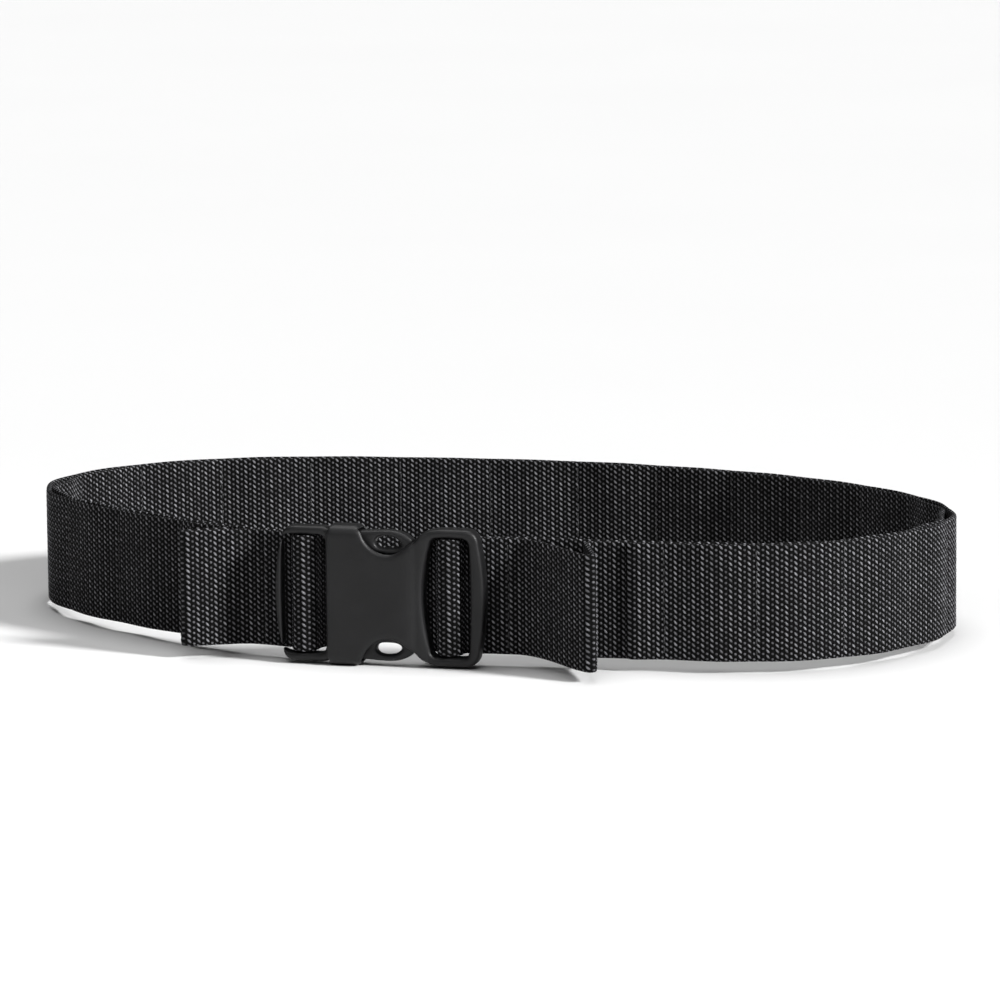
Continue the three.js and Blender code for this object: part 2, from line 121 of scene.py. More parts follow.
def calc(tree, operation, *values, clamp=False):
    inputs = dict(enumerate(values))
    node = addNode(tree, "ShaderNodeMath", {"operation": operation, "use_clamp": clamp}, inputs)
    return node.outputs[0]


# The scale at which a pattern's cells are this many millimetres across
def cellScale(width):
    return 1 / (width * mm)


def ramp(tree, factor, stops):
    node = addNode(tree, "ShaderNodeValToRGB", None, {"Fac": factor})
    band = node.color_ramp
    while len(band.elements) < len(stops):
        band.elements.new(0.5)
    for element, (place, colour) in zip(band.elements, stops):
        element.position = place
        element.color = paint(colour)
    return node.outputs[0]


webbing = {
    "thickness": 2.2,
    "width": 50,
    "columnPitch": 1.95,      # one float along the strap
    "rowPitch": 2.33,         # one float across it
    "slant": (0.62, 0.1),     # how far the floats lean, even and odd columns
    "wide": (0.47, 0.36),     # half a float along the strap, in columns
    "high": (0.31, 0.27),     # and across it, in rows
    "rib": 0.35,              # share of the relief that runs on down a column
    "relief": 0.5,            # height of a float
    # painted shade: the gaps between floats are painted near black, darker than the floats'
    # flanks
    "paintedValleyShade": "#010101",
    "flank": "#060606",
    # painted glint: the colours of a float's lit crown, from dim to bright
    "paintedGlintDim": "#2e2e30",
    "paintedGlintBright": "#8e8e92",
    "oddShare": 0.55,         # the painted glint is dimmer on odd columns, whose floats show less yarn
    "glintChanceShare": 0.55,         # each float's painted glint is a touch different, at random
    "patch": 22.22,           # the painted glint is paler in patches about this wide
    "patchShare": 0.6,
    "glint": 2.5,             # how sharply the painted glint brightens a float towards its crown
    "filaments": 3,           # ridges on a float
    "filamentSpan": 0.84,     # rows they take up
    "filamentRise": 0.07,
    "fuzz": 0.3846,           # stray fibres, drawn this coarse so that they show
    "fuzzRise": 0.12,
    "roughness": 0.82,
    "roughnessSpread": 0.1,
    "crownShine": 0.45,       # filament yarn shines on its crown, dull where it dives under
    "ior": 1.5,
    "specular": 0.12,
}


def polyesterWebbing():
    # Heavy woven polyester: short slanted floats in staggered columns, their crowns painted pale
    # as a painted glint over gaps painted near black as painted shade, so the cloth sparkles in
    # rows.
    material, tree = startMaterial("black woven polyester webbing")
    place = addNode(tree, "ShaderNodeUVMap", {"uv_map": "strapRun"})
    parts = addNode(tree, "ShaderNodeSeparateXYZ", None, {0: place.outputs[0]})
    along, across = parts.outputs[0], parts.outputs[1]
    column = calc(tree, "DIVIDE", along, webbing["columnPitch"] * mm)
    columnIndex = calc(tree, "FLOOR", column)
    isOdd = calc(tree, "FLOORED_MODULO", columnIndex, 2.0)
    inColumn = calc(tree, "SUBTRACT", calc(tree, "FRACT", column), 0.5)
    rowPlace = calc(tree, "DIVIDE", across, webbing["rowPitch"] * mm)

    def byColumn(key):       # one value for even columns and another for odd ones
        even, odd = webbing[key]
        return calc(tree, "MULTIPLY_ADD", isOdd, odd - even, even)

    row = calc(tree, "MULTIPLY_ADD", isOdd, 0.5, rowPlace)
    leaned = calc(tree, "MULTIPLY_ADD", inColumn, byColumn("slant"), row)
    rowIndex = calc(tree, "FLOOR", leaned)
    inRow = calc(tree, "SUBTRACT", calc(tree, "FRACT", leaned), 0.5)
    wide = calc(tree, "POWER", calc(tree, "DIVIDE", inColumn, byColumn("wide")), 2.0)
    high = calc(tree, "POWER", calc(tree, "DIVIDE", inRow, byColumn("high")), 2.0)
    left = calc(tree, "SUBTRACT", 1.0, calc(tree, "ADD", wide, high), clamp=True)
    dome = calc(tree, "SQRT", left)
    rib = calc(tree, "SQRT", calc(tree, "SUBTRACT", 1.0, wide, clamp=True))
    label = addNode(tree, "ShaderNodeCombineXYZ", None, {0: columnIndex, 1: rowIndex})
    chance = addNode(tree, "ShaderNodeTexWhiteNoise", {"noise_dimensions": "2D"},
                     {"Vector": label.outputs[0]}).outputs[0]
    turns = webbing["filaments"] * 2 * math.pi / webbing["filamentSpan"]
    filament = calc(tree, "SINE", calc(tree, "MULTIPLY", inRow, turns))
    patch = addNode(tree, "ShaderNodeTexNoise", None,
                    {"Vector": place.outputs[0], "Scale": cellScale(webbing["patch"]),
                     "Detail": 3.0}).outputs[0]
    tone = calc(tree, "MULTIPLY_ADD", chance, webbing["glintChanceShare"],
                calc(tree, "MULTIPLY", patch, webbing["patchShare"]))
    tone = calc(tree, "MULTIPLY", tone,
                calc(tree, "MULTIPLY_ADD", isOdd, webbing["oddShare"] - 1, 1.0))
    # painted glint: each float's crown gets a pale colour that stands in for the light it catches
    crown = ramp(tree, tone, [(0.05, webbing["paintedGlintDim"]), (0.95, webbing["paintedGlintBright"])])
    # painted shade: the cloth darkens from a float's flank down into the gap beside it
    body = ramp(tree, dome, [(0.1, webbing["paintedValleyShade"]), (0.6, webbing["flank"])])
    glint = calc(tree, "POWER", dome, webbing["glint"])
    # the painted glint spreads over the painted shade towards each crown
    colour = addNode(tree, "ShaderNodeMix", {"data_type": "RGBA"},
                     {"Factor": glint, "A": body, "B": crown}).outputs["Result"]
    base = calc(tree, "MULTIPLY_ADD", rib, webbing["rib"],
                calc(tree, "MULTIPLY", dome, 1 - webbing["rib"]))
    ridge = calc(tree, "MULTIPLY_ADD", calc(tree, "MULTIPLY", filament, dome),
                 webbing["filamentRise"], base)
    fuzz = addNode(tree, "ShaderNodeTexNoise", None,
                   {"Vector": place.outputs[0], "Scale": cellScale(webbing["fuzz"]),
                    "Detail": 2.0}).outputs[0]
    height = calc(tree, "MULTIPLY_ADD", fuzz, webbing["fuzzRise"], ridge)
    bump = addNode(tree, "ShaderNodeBump", None,
                   {"Strength": 1.0, "Distance": webbing["relief"] * mm, "Height": height})
    dull = calc(tree, "MULTIPLY_ADD", chance, webbing["roughnessSpread"], webbing["roughness"])
    rough = calc(tree, "MULTIPLY_ADD", dome, -webbing["crownShine"], dull)
    finishMaterial(tree, {"Base Color": colour, "Roughness": rough, "IOR": webbing["ior"],
                          "Specular IOR Level": webbing["specular"],
                          "Normal": bump.outputs[0]})
    return material


sewing = {
    "twist": 0.8976,          # mm from one turn of the twist to the next
    "twistRelief": 0.1,
    "patch": 11.11,           # mm, how wide the waxier stretches are
    "colours": ("#0d0d0e", "#1d1d1f"),
    "roughness": 0.38,
    "roughnessSpread": 0.2,
    "ior": 1.5,
}


def bondedThread():
    # Bonded polyester sewing thread: smooth, waxed, a fine twist, a shade glossier than cloth.
    material, tree = startMaterial("black bonded sewing thread")
    place = addNode(tree, "ShaderNodeTexCoord").outputs["Object"]
    # at scale 1 the diagonal bands turn through 10 radians a metre
    bandScale = 2 * math.pi / 10 * cellScale(sewing["twist"])
    twist = addNode(tree, "ShaderNodeTexWave", {"bands_direction": "DIAGONAL"},
                    {"Vector": place, "Scale": bandScale, "Distortion": 0.6})
    patch = addNode(tree, "ShaderNodeTexNoise", None,
                    {"Vector": place, "Scale": cellScale(sewing["patch"])})
    dark, light = sewing["colours"]
    colour = ramp(tree, patch.outputs[0], [(0.35, dark), (0.7, light)])
    bump = addNode(tree, "ShaderNodeBump", None,
                   {"Strength": 0.6, "Distance": sewing["twistRelief"] * mm,
                    "Height": twist.outputs["Fac"]})
    rough = calc(tree, "MULTIPLY_ADD", patch.outputs[0], sewing["roughnessSpread"],
                 sewing["roughness"])
    finishMaterial(tree, {"Base Color": colour, "Roughness": rough, "IOR": sewing["ior"],
                          "Normal": bump.outputs[0]})
    return material


moulding = {
    "grain": 0.45,            # mm, spark eroded texture, drawn a little coarse so it shows
    "grainRelief": 0.07,
    "cells": 1.3,             # pits to a grain's width
    "cloud": 18.18,           # mm, how wide the slow changes of tone are
    "body": ("#0c0c0d", "#131314"),
    "worn": "#38383a",
    "wornFrom": 0.53,         # how sharp an edge must be to be rubbed pale
    "wornRate": 9.0,
    "roughness": 0.4,
    "roughnessSpread": 0.14,
    "wornShine": 0.12,
    "ior": 1.48,
    "specular": 0.35,
}


def mouldedAcetal():
    # Injection moulded acetal, charcoal: a fine spark eroded grain spreads the light softly,
    # and handled edges are paler and slicker.
    material, tree = startMaterial("charcoal moulded acetal")
    place = addNode(tree, "ShaderNodeTexCoord").outputs["Object"]
    grain = addNode(tree, "ShaderNodeTexNoise", None,
                    {"Vector": place, "Scale": cellScale(moulding["grain"]), "Detail": 3.0,
                     "Roughness": 0.6}).outputs[0]
    pitScale = moulding["cells"] * cellScale(moulding["grain"])
    cell = addNode(tree, "ShaderNodeTexVoronoi", None,
                   {"Vector": place, "Scale": pitScale}).outputs["Distance"]
    cloud = addNode(tree, "ShaderNodeTexNoise", None,
                    {"Vector": place, "Scale": cellScale(moulding["cloud"]),
                     "Detail": 4.0}).outputs[0]
    edge = addNode(tree, "ShaderNodeNewGeometry").outputs["Pointiness"]
    sharp = calc(tree, "SUBTRACT", edge, moulding["wornFrom"])
    worn = calc(tree, "MULTIPLY", sharp, moulding["wornRate"], clamp=True)
    wornPatch = calc(tree, "MULTIPLY", worn, calc(tree, "ADD", cloud, 0.2), clamp=True)
    body = ramp(tree, cloud, [(0.3, moulding["body"][0]), (0.7, moulding["body"][1])])
    colour = addNode(tree, "ShaderNodeMix", {"data_type": "RGBA"},
                     {"Factor": wornPatch, "A": body, "B": paint(moulding["worn"])})
    slick = calc(tree, "MULTIPLY_ADD", wornPatch, -moulding["wornShine"], moulding["roughness"])
    rough = calc(tree, "MULTIPLY_ADD", grain, moulding["roughnessSpread"], slick)
    height = calc(tree, "MULTIPLY_ADD", cell, 0.5, grain)
    bump = addNode(tree, "ShaderNodeBump", None,
                   {"Strength": 0.5, "Distance": moulding["grainRelief"] * mm,
                    "Height": height})
    finishMaterial(tree, {"Base Color": colour.outputs["Result"], "Roughness": rough,
                          "IOR": moulding["ior"], "Specular IOR Level": moulding["specular"],
                          "Normal": bump.outputs[0]})
    return material


webbingCloth = polyesterWebbing()
sewingThread = bondedThread()
bucklePlastic = mouldedAcetal()
print("materials ready")


# the belt's line is drawn as seen from above, in mm, with the buckle in front
belt = {
    "loop": (410, 248),
    "layerGap": 0.3,
    "buckleX": -15,
    "buckleHeight": 61,
    "frameThickness": 9,
    "femaleEnd": 46,
    "restGap": 0.2,
    "splitHalfGap": 0.15,     # half the gap between the two halves at the back
    "firstSeam": {"left": 102, "right": 121},
    "lastSeam": {"left": 14.4, "right": 27.6},
    "seamRows": {"left": 10, "right": 12},
    "outerBulge": 1.0,        # how far the layers lift between two rows
    "innerBulge": 1.2,
    "tightBulge": 95,         # more of it where the loop is tight
    "groove": 0.55,           # and how far a row pulls them in
    "grooveWidth": 1.5,
    "landingBulge": 1.9,      # the outer layer lifts between a pocket and the first row
    "wave": 0.18,             # the edge is never quite straight
}
buckle = {
    "bar": {"left": -33.6, "right": 30},
    "barSize": 4.6,
    "turnReach": 17,
    "turnBulb": {"left": 7.5, "right": 14.5},
    "settle": 4,              # run in which the strap leaves the belt for the bar
    "foldRoom": 0.4,          # room inside the bulb's own fold
    "bulbEase": 5,
    "bulbRise": (0.6, 2.2, 3, 2.4),   # how far the bulb stands back, from the wall round it
}
pocket = {
    "start": 57,
    "fold": {"left": 78, "right": 94},
    "standOff": {"left": 22, "right": 30},
    "drop": {"left": 0.0, "right": 1.5},   # the pleat sags a little at its fold
    "comeBack": 5,
    "end": 12,
    "landingRise": 4,
    "foldRadius": 1.8,
    "rootRun": 9,             # how far the pleat clings to the belt before it lifts
    "settle": 4,              # and the run in which it lands again
    "sagReach": 22,
}
planCage = np.array([
    (-0.07, -0.95), (0.22, -0.94), (0.5, -0.93), (0.77, -0.93), (0.98, -0.6), (1.07, -0.02),
    (0.88, 0.5), (0.56, 0.88), (0.1, 1.07), (-0.38, 1.02), (-0.76, 0.86), (-0.99, 0.45),
    (-1.02, -0.07), (-0.83, -0.46), (-0.56, -0.75), (-0.34, -0.96),
]) * np.array(belt["loop"]) / 2


def cagePoints(count):
    share = np.arange(count) * len(planCage) / count
    first = np.floor(share).astype(int)
    t = (share - first)[:, None]
    weights = ((1 - t) ** 3 / 6, (3 * t ** 3 - 6 * t ** 2 + 4) / 6,
               (-3 * t ** 3 + 3 * t ** 2 + 3 * t + 1) / 6, t ** 3 / 6)
    return sum(w * planCage[(first + i - 1) % len(planCage)] for i, w in enumerate(weights))


def runLength(points):
    steps = np.linalg.norm(np.diff(points, axis=0), axis=1)
    return np.concatenate([[0], np.cumsum(steps)])


planSteps, farAway = 8000, 1e9
planPoints = cagePoints(planSteps)
nearBuckle = np.where(planPoints[:, 1] < 0, np.abs(planPoints[:, 0] - belt["buckleX"]), farAway)
planPoints = np.roll(planPoints, -int(np.argmin(nearBuckle)), axis=0)
planPoints = np.vstack([planPoints, planPoints[:1]])
planDistance = runLength(planPoints)
planLength = planDistance[-1]


# Points of the plan, by distance from the buckle, rightwards, moved in by inset
def planAt(distance, inset=0.0):
    wrapped = np.mod(np.asarray(distance, float), planLength)
    point = np.stack([np.interp(wrapped, planDistance, planPoints[:, k]) for k in (0, 1)], -1)
    feel = 0.5               # mm each way for the heading
    ahead = np.mod(wrapped + feel, planLength)
    behind = np.mod(wrapped - feel, planLength)
    along = np.stack([np.interp(ahead, planDistance, planPoints[:, k])
                      - np.interp(behind, planDistance, planPoints[:, k]) for k in (0, 1)], -1)
    along /= np.linalg.norm(along, axis=-1, keepdims=True)
    inwards = np.stack([-along[..., 1], along[..., 0]], -1)
    return point + inwards * np.asarray(inset)[..., None]


frontY = float(planAt(0.0)[1])
backY = float(planPoints[:, 1].max())
buckleY = frontY - belt["frameThickness"] / 2 - belt["layerGap"]
webBottom = (belt["buckleHeight"] - webbing["width"]) / 2
slope = (webBottom - belt["restGap"]) / (backY - frontY)
middleZ = belt["buckleHeight"] / 2
backIndex = int(np.argmin(np.where(planPoints[:, 1] > 0,
                                   np.abs(planPoints[:, 0] - belt["buckleX"]), farAway)))
backDistance = planDistance[backIndex]
outerInset = webbing["thickness"] / 2
innerInset = outerInset + webbing["thickness"] + belt["layerGap"]

# from this plan to the row's frame: the two meet at the buckle's middle
low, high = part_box("female_body")
frameShift = np.array([high[0] / mm - belt["femaleEnd"] - belt["buckleX"],
                       (low[1] + high[1]) / 2 / mm - buckleY])


# Every sewn row, by distance rightwards round the belt
def seamDistances():
    rows = []
    lengths = {"right": backDistance, "left": planLength - backDistance}
    for name, length in lengths.items():
        first = belt["firstSeam"][name]
        last = length - belt["splitHalfGap"] - belt["lastSeam"][name]
        for d in np.linspace(first, last, belt["seamRows"][name]):
            rows.append(d if name == "right" else planLength - d)
    return np.sort(rows)


seams = seamDistances()
bulgeShare = random.uniform(0.75, 1.3, len(seams) + 1)
bulgeLean = random.uniform(0.8, 1.25, len(seams) + 1)


# How far the layers part between rows, and the groove at each row
def sewnOffset(distance):
    span = np.clip(np.searchsorted(seams, distance), 1, len(seams) - 1)
    t = (distance - seams[span - 1]) / (seams[span] - seams[span - 1])
    t = np.clip(t, 0, 1) ** bulgeLean[span]
    swell = np.sin(math.pi * t) ** 2 * bulgeShare[span]
    nearest = np.min(np.abs(distance[:, None] - seams[None]), axis=1)
    dip = np.exp(-(nearest / belt["grooveWidth"]) ** 2)
    return swell, dip


def bendOf(distance, step=8):
    a, b, c = planAt(distance - step), planAt(distance), planAt(distance + step)
    return np.linalg.norm(a - 2 * b + c, axis=-1) / step ** 2


def bezier(*points, count=40):
    p = [np.asarray(q, float) for q in points]
    t = np.linspace(0, 1, count)[:, None]
    return ((1 - t) ** 3 * p[0] + 3 * (1 - t) ** 2 * t * p[1] + 3 * (1 - t) * t ** 2 * p[2]
            + t ** 3 * p[3])


def straight(a, b, count=20):
    t = np.linspace(0, 1, count)[:, None]
    return np.asarray(a) * (1 - t) + np.asarray(b) * t


def joined(*runs):
    return np.vstack([runs[0]] + [run[1:] for run in runs[1:]])


quarterCircle = 0.55          # handle of a curve that stands for a quarter circle


# The strap comes off the outer layer, goes forward over the bar and back inside
def barTurn(name, side):
    barX, bulb = buckle["bar"][name], buckle["turnBulb"][name]
    radius = (math.hypot(buckle["barSize"], buckle["barSize"]) / 2 + belt["layerGap"] / 2
              + webbing["thickness"] / 2)
    outerY = outerInset + frontY - buckleY
    innerY = innerInset + frontY - buckleY
    reach = side * (abs(barX) + buckle["turnReach"])
    bulbEnd = webbing["thickness"] / 2 - bulb
    fold = webbing["thickness"] / 2 + buckle["foldRoom"]
    over = radius * quarterCircle
    behindWall = min(-radius, bulbEnd + buckle["bulbEase"])
    flatFrom = radius + buckle["settle"]
    wallY, topY, turnY = (outerY + rise for rise in buckle["bulbRise"][:3])
    foldY = innerY + buckle["bulbRise"][3]

    def at(x, y):
        return np.array([belt["buckleX"] + barX + side * x, buckleY + y])

    rise, fall, front = at(radius, 1), at(-radius, 1), at(0, -radius)
    foldStart, foldEnd = at(bulbEnd + fold * 0.6, topY), at(bulbEnd + fold * 2, foldY)
    return joined(
        straight(planAt(reach, outerInset), at(flatFrom, outerY)),
        bezier(at(flatFrom, outerY), at(radius + 1, outerY), at(radius, outerY - 1), rise),
        bezier(rise, at(radius, -over), at(over, -radius), front),
        bezier(front, at(-over, -radius), at(-radius, -over), fall),
        bezier(fall, at(-radius, wallY), at(behindWall, wallY), foldStart),
        bezier(foldStart, at(bulbEnd, turnY), at(bulbEnd, foldY), foldEnd),
        bezier(foldEnd, at(-1, foldY), at(buckle["settle"], innerY), at(flatFrom, innerY)),
        straight(at(flatFrom, innerY), planAt(reach, innerInset)),
    )


# The outer layer stands off beside the buckle and folds sharply back to the belt
def pocketLine(name, side):
    start, fold, standOff = pocket["start"], pocket["fold"][name], pocket["standOff"][name]

    def at(distance, out):
        return planAt(side * distance, outerInset - out)

    root, foldPoint = at(start, 0), at(fold, standOff)
    panel = bezier(root, at(start + pocket["rootRun"], 0), root * 0.4 + foldPoint * 0.6,
                   foldPoint, count=90)
    outwards = panel[-1] - panel[-2]
    outwards /= np.linalg.norm(outwards)
    back = fold - pocket["comeBack"]
    landing, landingTurn = at(back, 0), at(back - 1, pocket["landingRise"])
    heading = (landingTurn - foldPoint) / np.linalg.norm(landingTurn - foldPoint)
    turnAngle = math.acos(float(outwards @ heading))
    spoke = np.array([-outwards[1], outwards[0]]) * side * pocket["foldRadius"]
    angles = np.linspace(0, side * turnAngle, 24)
    cos, sin = np.cos(angles), np.sin(angles)
    arc = foldPoint + spoke - np.stack([spoke[0] * cos - spoke[1] * sin,
                                        spoke[0] * sin + spoke[1] * cos], -1)
    flatFrom = back + pocket["settle"]
    settle = bezier(landingTurn, landingTurn * 0.3 + landing * 0.7, at(back + 1, 0),
                    at(flatFrom, 0))
    flat = planAt(side * np.linspace(flatFrom, fold + pocket["end"], 30), outerInset)
    return joined(panel, arc, straight(arc[-1], landingTurn, 40), settle, flat)


# From the first sewn row on the outer layer, round the bar, to that row inside
def buckleRun(name, side):
    first = belt["firstSeam"][name]
    fold = pocket["fold"][name] + pocket["end"]
    reach = abs(buckle["bar"][name]) + buckle["turnReach"]
    landed = pocket["fold"][name]
    reached = np.linspace(first, fold, 40)
    swell = np.sin(math.pi * (reached - landed) / (first - landed)) ** 2
    outer = planAt(side * reached, outerInset - belt["landingBulge"] * swell)
    lead = planAt(side * np.linspace(pocket["start"], reach, 20), outerInset)
    inner = planAt(side * np.linspace(reach, first, 120), innerInset)
    return joined(outer, pocketLine(name, side)[::-1], lead, barTurn(name, side), inner)


# One sewn layer, from the right first row round the back to the left first row
def layerRun(isOuter):
    distance = np.arange(seams[0], seams[-1], 0.5)
    distance = np.append(distance, seams[-1])
    swell, dip = sewnOffset(distance)
    if isOuter:
        inset = outerInset - belt["outerBulge"] * swell + belt["groove"] * dip * 0.5
    else:
        amount = belt["innerBulge"] + belt["tightBulge"] * bendOf(distance)
        inset = innerInset + amount * swell - belt["groove"] * dip * 0.5
    return planAt(distance, inset)


# Even steps round a closed line, its corners eased over about spread mm
def smoothClosed(points, step, spread):
    closed = np.vstack([points, points[:1]])
    along = runLength(closed)
    count = int(along[-1] / step)
    place = np.arange(count) * along[-1] / count
    even = np.stack([np.interp(place, along, closed[:, k]) for k in (0, 1)], -1)
    reach = int(3 * spread / step)
    kernel = np.exp(-0.5 * (np.arange(-reach, reach + 1) * step / spread) ** 2)
    kernel /= kernel.sum()
    return sum(w * np.roll(even, k - reach, axis=0) for k, w in enumerate(kernel))


# the whole strap as one closed line: out over the left bar, back inside, round to the right
runs = [layerRun(True), buckleRun("left", -1), layerRun(False)[::-1],
        buckleRun("right", 1)[::-1]]
runEnds = np.cumsum([runLength(run)[-1] for run in runs])
lineStep, lineEase = 0.2, 0.7
strapLine = smoothClosed(joined(*runs)[:-1], lineStep, lineEase)
closedLine = np.vstack([strapLine, strapLine[:1]])
closedRun = runLength(closedLine)
strapLength = closedRun[-1]
columns = 2 * int(round(strapLength / webbing["columnPitch"] / 2))
webbing["columnPitch"] = strapLength / columns      # whole pairs of columns close the loop
print("strap", round(strapLength), "mm,", columns, "columns of floats")

strapCount = 2 * columns      # two steps to a column
strapStep = webbing["columnPitch"] / 2
place = np.arange(strapCount) * strapLength / strapCount
strapPoints = np.stack([np.interp(place, closedRun, closedLine[:, k]) for k in (0, 1)], -1)
tangent = np.roll(strapPoints, -1, axis=0) - np.roll(strapPoints, 1, axis=0)
tangent /= np.linalg.norm(tangent, axis=1, keepdims=True)
faceNormal = np.stack([tangent[:, 1], -tangent[:, 0]], -1)   # towards the side that shows


# The strap's place nearest to a point, looked for about a share of its length
def strapIndex(point, about):
    centre, around = int(about * strapCount), 60
    span = np.arange(centre - around, centre + around)
    gap = np.linalg.norm(strapPoints[span % strapCount] - point, axis=1)
    return int(span[np.argmin(gap)])


cuts = [
    0,
    strapIndex(planAt(seams[-1], outerInset), runEnds[0] / runEnds[-1]),
    strapIndex(planAt(seams[-1], innerInset), runEnds[1] / runEnds[-1]),
    strapIndex(planAt(seams[0], innerInset), runEnds[2] / runEnds[-1]),
    strapCount,
]


sectionSteps = {"face": 82, "edge": 6, "back": 24}
selvedge = {"weave": 0.7, "lift": 0.6}       # how much of the relief the rounded edges keep


# Round the strap: (out of the face, up, distance round, weave shown), mm
def strapSection():
    half, flat = webbing["thickness"] / 2, (webbing["width"] - webbing["thickness"]) / 2
    edge, weave = math.pi * half, selvedge["weave"]
    points = []
    for v in np.linspace(-flat, flat, sectionSteps["face"] + 1)[:-1]:
        points.append((half, v, v + flat, 1))
    for t in np.linspace(0, math.pi, sectionSteps["edge"] + 1)[:-1]:
        points.append((half * math.cos(t), flat + half * math.sin(t), 2 * flat + half * t,
                       weave))
    for v in np.linspace(flat, -flat, sectionSteps["back"] + 1)[:-1]:
        points.append((-half, v, 2 * flat + edge + flat - v, 0))
    for t in np.linspace(math.pi, 2 * math.pi, sectionSteps["edge"] + 1)[:-1]:
        points.append((half * math.cos(t), -flat + half * math.sin(t),
                       4 * flat + edge + half * (t - math.pi), weave))
    return np.array(points), 4 * flat + 2 * edge


section, perimeter = strapSection()
webbing["rowPitch"] = perimeter / round(perimeter / webbing["rowPitch"])


# The weave's relief, 0 to 1: the same floats that the cloth's shader draws
def floatHeight(along, across):
    column = along / webbing["columnPitch"]
    index = np.floor(column)
    odd = np.mod(index, 2)
    inColumn = column - index - 0.5
    lean = webbing["slant"][0] + odd * (webbing["slant"][1] - webbing["slant"][0])
    leaned = across / webbing["rowPitch"] + 0.5 * odd + inColumn * lean
    inRow = leaned - np.floor(leaned) - 0.5
    wide = (inColumn / np.where(odd > 0, webbing["wide"][1], webbing["wide"][0])) ** 2
    high = (inRow / np.where(odd > 0, webbing["high"][1], webbing["high"][0])) ** 2
    dome = np.sqrt(np.clip(1 - wide - high, 0, 1))
    rib = np.sqrt(np.clip(1 - wide, 0, 1))
    return webbing["rib"] * rib + (1 - webbing["rib"]) * dome


# Height over the floor: the webbing slopes down from the buckle to the back
def frameZ(up, y):
    return middleZ + up - slope * (y - frontY)


waveTurns = (3, 5, 8, 13, 19, 31)            # waves in the strap's whole length
wavePhase = random.uniform(0, 2 * math.pi, len(waveTurns))


def edgeWave(run):
    return sum(np.sin(2 * math.pi * n * run / strapLength + p) / (1 + k * 0.5)
               for k, (n, p) in enumerate(zip(waveTurns, wavePhase))) * belt["wave"] / 2


# A pleat sags at its fold
def foldDrop(points):
    drop = np.zeros(len(points))
    for name, side in (("left", -1), ("right", 1)):
        fold = planAt(side * pocket["fold"][name], outerInset - pocket["standOff"][name])
        away = np.linalg.norm(points - fold, axis=1)
        drop += pocket["drop"][name] * np.exp(-(away / pocket["sagReach"]) ** 2)
    return drop


# A tube of quads from rings of points in metres, with its distances as a UV map
def gridMesh(name, grid, uRun, vRound):
    rings, around = grid.shape[:2]
    mesh = bpy.data.meshes.new(name)
    index = np.arange(rings * around).reshape(rings, around)
    after = np.roll(index, -1, axis=1)
    quads = np.stack([index[:-1], index[1:], after[1:], after[:-1]], -1).reshape(-1, 4)
    faces = quads.tolist() + [index[0].tolist(), index[-1][::-1].tolist()]
    mesh.from_pydata(grid.reshape(-1, 3).tolist(), [], faces)
    u = np.repeat(uRun[:, None], around, 1)
    v = np.repeat(vRound[None, :-1], rings - 1, 0)
    vNext = np.repeat(vRound[None, 1:], rings - 1, 0)
    corners = [(u[:-1], v), (u[1:], v), (u[1:], vNext), (u[:-1], vNext)]
    flat = np.stack([np.stack(pair, -1) for pair in corners], 2).reshape(-1, 2)
    flat = np.vstack([flat, np.stack([u[0], v[0]], -1), np.stack([u[-1], v[0]], -1)[::-1]])
    layer = mesh.uv_layers.new(name="strapRun")
    layer.data.foreach_set("uv", flat.ravel())
    mesh.polygons.foreach_set("use_smooth", [True] * len(faces))
    mesh.update()
    return mesh


def addPiece(name, mesh, material):
    piece = bpy.data.objects.new(name, mesh)
    bpy.context.scene.collection.objects.link(piece)
    mesh.materials.append(material)
    return piece


def strapPiece(name, first, last):
    index = np.arange(first, last + 1)
    points, normal = strapPoints[index % strapCount], faceNormal[index % strapCount]
    run = index * strapStep
    out, up, around, weave = section.T
    nudge = 0.02             # mm, so that a point between two columns takes its height from both
    relief = sum(floatHeight(run[:, None] + way * nudge, around) for way in (-1, 1)) / 2
    lift = (relief - 0.5) * webbing["relief"] * weave
    isEdge = np.abs(out) < webbing["thickness"] / 2 - 1e-6
    lift[:, isEdge] *= selvedge["lift"]
    acrossOut = out + lift
    xy = points[:, None] + normal[:, None] * acrossOut[:, :, None]
    heave = (edgeWave(run) - foldDrop(points))[:, None]
    z = frameZ(up + heave, xy[:, :, 1])
    place = np.concatenate([xy + frameShift, z[:, :, None]], -1) * mm
    roundRun = np.append(around, perimeter) * mm
    return addPiece(name, gridMesh(name, place, run * mm, roundRun), webbingCloth)


def bendAtBack(piece):
    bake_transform(piece)


outerWebbing = strapPiece("outer_webbing", cuts[0], cuts[1])
leftWebbing = strapPiece("left_buckle_webbing", cuts[1], cuts[2])
innerWebbing = strapPiece("inner_webbing", cuts[2], cuts[3])
rightWebbing = strapPiece("right_buckle_webbing", cuts[3], cuts[4])
bendAtBack(outerWebbing)
bendAtBack(innerWebbing)
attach(leftWebbing, "left_half")
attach(rightWebbing, "right_half")
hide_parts("right_outer_webbing", "left_outer_webbing")
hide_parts("right_inner_webbing", "left_inner_webbing")
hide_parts("left_pocket", "left_webbing_lead", "left_bar_turn")
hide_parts("right_pocket", "right_webbing_lead", "right_bar_turn")
print("webbing woven")


stitch = {
    "pitch": 4.0,             # mm from one needle hole to the next
    "length": 3.3,
    "radius": 0.36,
    "rise": 0.34,
    "margin": 2.2,            # first hole from the selvedge
    "wander": 0.12,           # how far a hole strays from the row's line
    "slip": 0.08,             # and along it
    "proud": 0.1,             # how far the thread stands over the groove
    "rings": 7,
    "sides": 6,
    "arch": (0.6, 1.25, 0.75),   # fullness, height and sinking of the thread's arch
    "thinEnd": 0.55,
    "flatness": 0.8,
}


